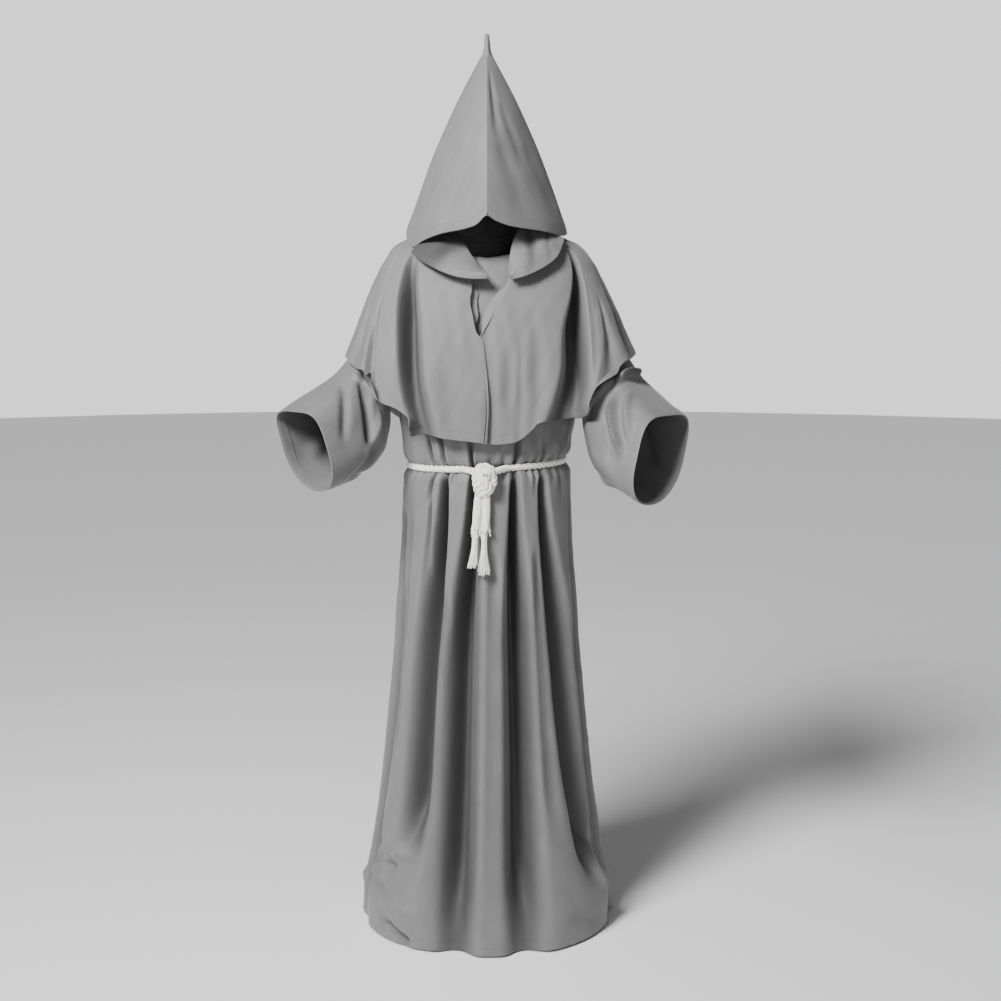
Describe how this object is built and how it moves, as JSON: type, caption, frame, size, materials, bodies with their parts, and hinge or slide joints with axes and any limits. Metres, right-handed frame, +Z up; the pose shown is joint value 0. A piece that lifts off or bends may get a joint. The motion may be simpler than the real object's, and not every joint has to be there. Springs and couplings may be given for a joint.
{
  "type": "franciscan monk habit",
  "caption": "Long hooded habit with wide sleeves, shoulder cape with a tall pointed hood, and a white rope belt tied in front, in its worn shape and hollow.",
  "frame": {"origin": "middle of the wearer's shoulder line, under the hood, 1.5 m above the floor the hem reaches", "axes": "+Z up, front of the habit faces -Y, the wearer's left arm is on +X"},
  "size_m": [0.8704, 0.5092, 1.9731],
  "materials": {
    "cloth": "smooth grey polyester twill with a soft sheen",
    "rope": "twisted white cotton rope"
  },
  "bodies": {
    "root": {"robe_front": "cloth", "robe_back": "cloth", "sleeve_left": "cloth", "sleeve_right": "cloth", "cape_front_left": "cloth", "cape_front_right": "cloth", "cape_back": "cloth", "facing_left": "cloth", "facing_right": "cloth", "hood_left": "cloth", "hood_right": "cloth", "hood_tail": "cloth", "collar_left": "cloth", "collar_right": "cloth", "belt": "rope", "belt_knot": "rope", "belt_tail_left": "rope", "belt_tail_right": "rope", "tassel_left": "rope", "tassel_right": "rope"}
  },
  "joints": []
}
